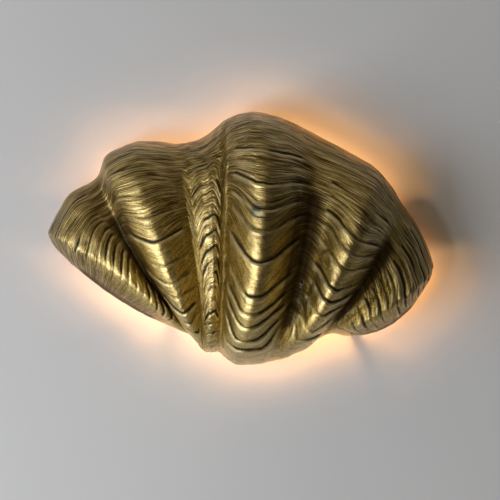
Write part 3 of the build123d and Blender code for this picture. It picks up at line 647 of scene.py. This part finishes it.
BULB_GLOW, BULB_GLOW_COLOUR = 25.0, (1.0, 0.50, 0.20)
FINISHES = {
    "cast_brass": cast_brass(),
    "zinc_steel": plain("zinc_steel", (0.42, 0.43, 0.44), (0.62, 0.62, 0.60), 90, (0.28, 0.5), 1.0),
    "brass_hardware": plain("brass_hardware", (0.52, 0.38, 0.15), (0.76, 0.60, 0.30), 80,
                            (0.18, 0.36), 1.0),
    "plate_paint": plain("plate_paint", (0.70, 0.69, 0.66), (0.78, 0.77, 0.74), 40,
                         (0.42, 0.6), 0.0, 0.4, 500),
    "rubber_black": plain("rubber_black", (0.018, 0.018, 0.018), (0.035, 0.034, 0.033), 120,
                          (0.6, 0.8), 0.0, 0.5),
    "rubber_grey": plain("rubber_grey", (0.10, 0.10, 0.10), (0.16, 0.16, 0.155), 120,
                         (0.55, 0.75), 0.0, 0.5),
    "holder_ceramic": plain("holder_ceramic", (0.74, 0.72, 0.67), (0.84, 0.83, 0.79), 70,
                            (0.16, 0.3), 0.0, 0.25),
    "bulb_base": plain("bulb_base", (0.70, 0.69, 0.67), (0.80, 0.79, 0.77), 60, (0.25, 0.4)),
    "nickel": plain("nickel", (0.55, 0.53, 0.49), (0.72, 0.70, 0.66), 150, (0.2, 0.35), 1.0),
    "block_plastic": plain("block_plastic", (0.66, 0.65, 0.60), (0.75, 0.74, 0.69), 60,
                           (0.35, 0.5)),
    "lead_brown": plain("lead_brown", (0.10, 0.045, 0.02), (0.15, 0.065, 0.03), 200, (0.35, 0.5)),
    "lead_blue": plain("lead_blue", (0.02, 0.11, 0.38), (0.035, 0.15, 0.46), 200, (0.35, 0.5)),
    "lead_green": plain("lead_green", (0.03, 0.20, 0.04), (0.30, 0.42, 0.03), 200, (0.35, 0.5)),
    "bulb_glass": plain("bulb_glass", (0.88, 0.78, 0.64), (0.95, 0.86, 0.72), 60, (0.3, 0.45),
                        emission_color=BULB_GLOW_COLOUR, emission_strength=BULB_GLOW),
}
SLOTS = {
    "cast_brass": ["shell"],
    "zinc_steel": ["hanger_left", "hanger_right", "hanger_washers", "hanger_screws",
                   "hook_nuts", "hook_screws", "lamp_bracket", "bracket_screws",
                   "holder_screws", "block_screw", "earth_washer", "earth_screw"],
    "brass_hardware": ["spacer_posts", "hook_bushes", "terminal_screws", "earth_tag"],
    "plate_paint": ["wall_plate"],
    "rubber_black": ["spacer_tips"],
    "rubber_grey": ["cable_grommet"],
    "holder_ceramic": ["lampholder_left", "lampholder_right"],
    "bulb_base": ["bulb_left_base", "bulb_right_base"],
    "nickel": ["holder_contacts", "bulb_left_pins", "bulb_right_pins"],
    "block_plastic": ["terminal_block"],
    "lead_brown": ["leads_live"],
    "lead_blue": ["leads_neutral"],
    "lead_green": ["lead_earth"],
    "bulb_glass": ["bulb_left_glass", "bulb_right_glass"],
}
for slot_name, node_names in SLOTS.items():
    for node_name in node_names:
        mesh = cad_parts[node_name].data
        mesh.materials.clear()
        mesh.materials.append(FINISHES[slot_name])

shell_mesh.materials.append(FINISHES["cast_brass"])
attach(shell, "cover")
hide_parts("shell")

# ------------------------------------------------------------------ wall
# It has one visible side, and is open behind the plate, which is lit in views from behind.
WALL_HALF, WALL_Y = 4.0, 0.0006
OPEN_INSET, OPEN_CORNER = 0.0015, 0.008
WALL_DARK, WALL_LIGHT = (0.57, 0.59, 0.64), (0.61, 0.63, 0.675)
CORNERS = ((-1, -1), (1, -1), (1, 1), (-1, 1))
wall_mesh = bpy.data.meshes.new("wall")
(low_x, _, low_z), (high_x, _, high_z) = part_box("wall_plate")
opening = []
for along_x, along_z in CORNERS:
    x = (low_x if along_x < 0 else high_x) - along_x * OPEN_INSET
    z = (low_z if along_z < 0 else high_z) - along_z * OPEN_INSET
    cut = [(x, z - along_z * OPEN_CORNER), (x - along_x * OPEN_CORNER, z)]
    opening += cut if along_x * along_z > 0 else cut[::-1]
outer = [(WALL_HALF * x, WALL_HALF * z) for x, z in CORNERS]
wall_faces = []
for k in range(4):
    after = (k + 1) % 4
    wall_faces.append((k, after, 4 + 2 * after, 4 + 2 * k + 1))
    wall_faces.append((k, 4 + 2 * k + 1, 4 + 2 * k))
wall_mesh.from_pydata([(x, WALL_Y, z) for x, z in outer + opening], [], wall_faces)
wall = bpy.data.objects.new("wall", wall_mesh)
scene.collection.objects.link(wall)
paint = Tree("wall_paint")
paint.look(base_color=paint.ramp(paint.noise(1.5, 3), (0.3, WALL_DARK), (0.7, WALL_LIGHT)),
           roughness=0.85, normal=paint.bump(paint.noise(120, 4), 0.0008, 0.15))
clear = paint.node("ShaderNodeBsdfTransparent")
front_only = paint.nodes.new("ShaderNodeMixShader")
paint.set(front_only.inputs[0], paint.node("ShaderNodeNewGeometry", "Backfacing"))
paint.set(front_only.inputs[1], paint.shader.outputs[0])
paint.set(front_only.inputs[2], clear)
paint.set(paint.nodes["Material Output"].inputs["Surface"], front_only.outputs[0])
wall_mesh.materials.append(paint.material)

# ------------------------------------------------------------------ lights
WORLD_COLOUR, WORLD_STRENGTH = (1.0, 0.82, 0.53), 0.28
SOFTBOX_COLOUR, CARD_BLACK = (0.95, 0.975, 1.0), (0.02, 0.018, 0.015)
# The bulbs' light, which leaves the shell through its gap to the wall: x, z and watts.
BULB_LIGHTS = [(-0.083, 0.014, 0.8), (-0.083, -0.014, 0.9), (0.083, 0.014, 1.3),
               (0.083, -0.014, 2.1), (0.0, -0.045, 0.5)]
BULB_Y, BULB_RADIUS, BULB_COLOUR = -0.036, 0.012, (1.0, 0.50, 0.19)

world = bpy.data.worlds.new("studio")
scene.world = world
world.use_nodes = True
background = world.node_tree.nodes["Background"]
background.inputs["Color"].default_value = (*WORLD_COLOUR, 1)
background.inputs["Strength"].default_value = WORLD_STRENGTH


def put(name, data, place):
    """An object at a place, turned to the middle of the set."""
    made = bpy.data.objects.new(name, data)
    made.location = place
    made.rotation_euler = (Vector() - Vector(place)).to_track_quat("-Z", "Y").to_euler()
    scene.collection.objects.link(made)
    return made


def softbox(name, place, width, height, watts):
    data = bpy.data.lights.new(name, "AREA")
    data.shape, data.size, data.size_y = "RECTANGLE", width, height
    data.energy, data.color = watts, SOFTBOX_COLOUR
    put(name, data, place)


def black_card(name, place, half):
    """A dark card beside the set, as a studio puts one: only reflections and light see it."""
    mesh = bpy.data.meshes.new(name)
    mesh.from_pydata([(half * x, half * y, 0) for x, y in CORNERS], [], [(0, 1, 2, 3)])
    card = put(name, mesh, place)
    card.visible_camera = False
    matt = Tree(name)
    matt.look(base_color=CARD_BLACK, roughness=0.9)
    mesh.materials.append(matt.material)


softbox("key", (-2.0, -1.5, -0.55), 1.5, 1.7, 52)
softbox("glint", (-1.1, -2.2, -0.9), 0.3, 0.4, 7)
black_card("card_right", (1.4, -1.0, 0.0), 1.6)
for x, z, watts in BULB_LIGHTS:
    data = bpy.data.lights.new("bulb_light", "POINT")
    data.energy, data.color, data.shadow_soft_size = watts, BULB_COLOUR, BULB_RADIUS
    lamp = bpy.data.objects.new("bulb_light", data)
    lamp.location = (x, BULB_Y, z)
    lamp.visible_camera = False
    scene.collection.objects.link(lamp)
